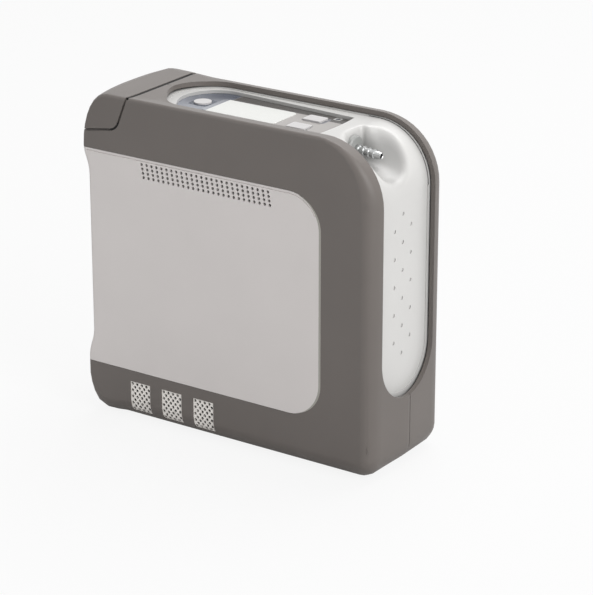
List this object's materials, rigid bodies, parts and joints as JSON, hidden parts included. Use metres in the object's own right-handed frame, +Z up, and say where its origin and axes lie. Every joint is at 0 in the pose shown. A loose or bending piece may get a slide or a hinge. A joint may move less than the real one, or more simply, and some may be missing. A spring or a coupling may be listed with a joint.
{
  "type": "portable oxygen concentrator",
  "caption": "Hand-carried oxygen concentrator: grey casing with light panels, white centre band with screen and keys, barbed oxygen outlet, grilles, lift-out battery.",
  "frame": {"origin": "centre of the footprint, on the ground under the rubber feet", "axes": "+Z up; +X along the large front face, from the battery corner to the oxygen outlet; +Y from the front face to the rear face"},
  "size_m": [0.215, 0.08, 0.213],
  "materials": {
    "band_plastic": "semi gloss",
    "black_plastic": "satin",
    "board": "lacquer",
    "bronze": "sintered",
    "cast_aluminium": "cast",
    "cell_wrap": "film wrap",
    "chassis_plastic": "satin",
    "copper_winding": "lacquered",
    "foam": "open-cell foam",
    "grey_plastic": "satin",
    "grille_plate": "satin",
    "key_plastic": "satin",
    "lcd_glass": "gloss",
    "light_pipe": "clear",
    "motor_paint": "satin",
    "nickel": "strip",
    "panel_plastic": "satin",
    "rubber": "matt",
    "screw_steel": "blackened",
    "shell_plastic": "fine texture",
    "silicone": "satin",
    "steel": "ground",
    "turned_aluminium": "machined",
    "white_plastic": "satin",
    "window_film": "gloss"
  },
  "bodies": {
    "casing": {"front_shell": "shell_plastic", "rear_shell": "shell_plastic", "front_panel": "panel_plastic", "rear_panel": "panel_plastic", "front_grilles": "grille_plate", "rear_grilles": "grille_plate", "centre_band": "band_plastic", "display_window": "window_film", "lcd_screen": "lcd_glass", "status_light": "light_pipe", "control_board": "board", "buzzer": "black_plastic", "outlet_collar": "grey_plastic", "outlet_barb": "white_plastic", "chassis": "chassis_plastic", "battery_bay": "grey_plastic", "bay_connector": "black_plastic", "crankcase": "cast_aluminium", "motor_can": "motor_paint", "crank_bearings": "bronze", "cylinder_left": "turned_aluminium", "cylinder_right": "turned_aluminium", "cylinder_heads": "turned_aluminium", "piston_left": "white_plastic", "piston_right": "white_plastic", "vibration_mounts": "rubber", "sieve_bed_front": "white_plastic", "sieve_bed_rear": "white_plastic", "valve_manifold": "cast_aluminium", "solenoid_valves": "black_plastic", "product_tank": "white_plastic", "gas_filter": "white_plastic", "oxygen_sensor": "grey_plastic", "outlet_filter": "white_plastic", "intake_tube": "rubber", "feed_tube": "rubber", "product_tube": "silicone", "main_board": "board", "dust_filters": "foam", "fan_housing": "black_plastic", "power_inlet": "black_plastic", "feet": "rubber", "case_screws": "screw_steel"},
    "battery": {"battery_case": "black_plastic", "battery_cap": "shell_plastic", "battery_cells": "cell_wrap", "battery_contacts": "nickel"},
    "power_key": {"power_button": "key_plastic"},
    "increase_key": {"increase_button": "key_plastic"},
    "decrease_key": {"decrease_button": "key_plastic"},
    "crank": {"crank_shaft": "steel", "motor_rotor": "copper_winding"},
    "fan": {"fan_rotor": "black_plastic"}
  },
  "joints": [
    {"name": "battery_lift", "type": "slide", "parent": "casing", "child": "battery", "axis": [0, 0, 1], "range_m": [0, 0.165]},
    {"name": "power_press", "type": "slide", "parent": "casing", "child": "power_key", "axis": [0, 0, -1], "range_m": [0, 0.0008], "stiffness_N_per_m": 350},
    {"name": "increase_press", "type": "slide", "parent": "casing", "child": "increase_key", "axis": [0, 0, -1], "range_m": [0, 0.0008], "stiffness_N_per_m": 350},
    {"name": "decrease_press", "type": "slide", "parent": "casing", "child": "decrease_key", "axis": [0, 0, -1], "range_m": [0, 0.0008], "stiffness_N_per_m": 350},
    {"name": "crank_spin", "type": "hinge", "parent": "casing", "child": "crank", "pos_m": [0, 0.017, 0.046], "axis": [0, 1, 0], "continuous": true},
    {"name": "fan_spin", "type": "hinge", "parent": "casing", "child": "fan", "pos_m": [-0.01, 0, 0.095], "axis": [0, 0, 1], "continuous": true}
  ]
}
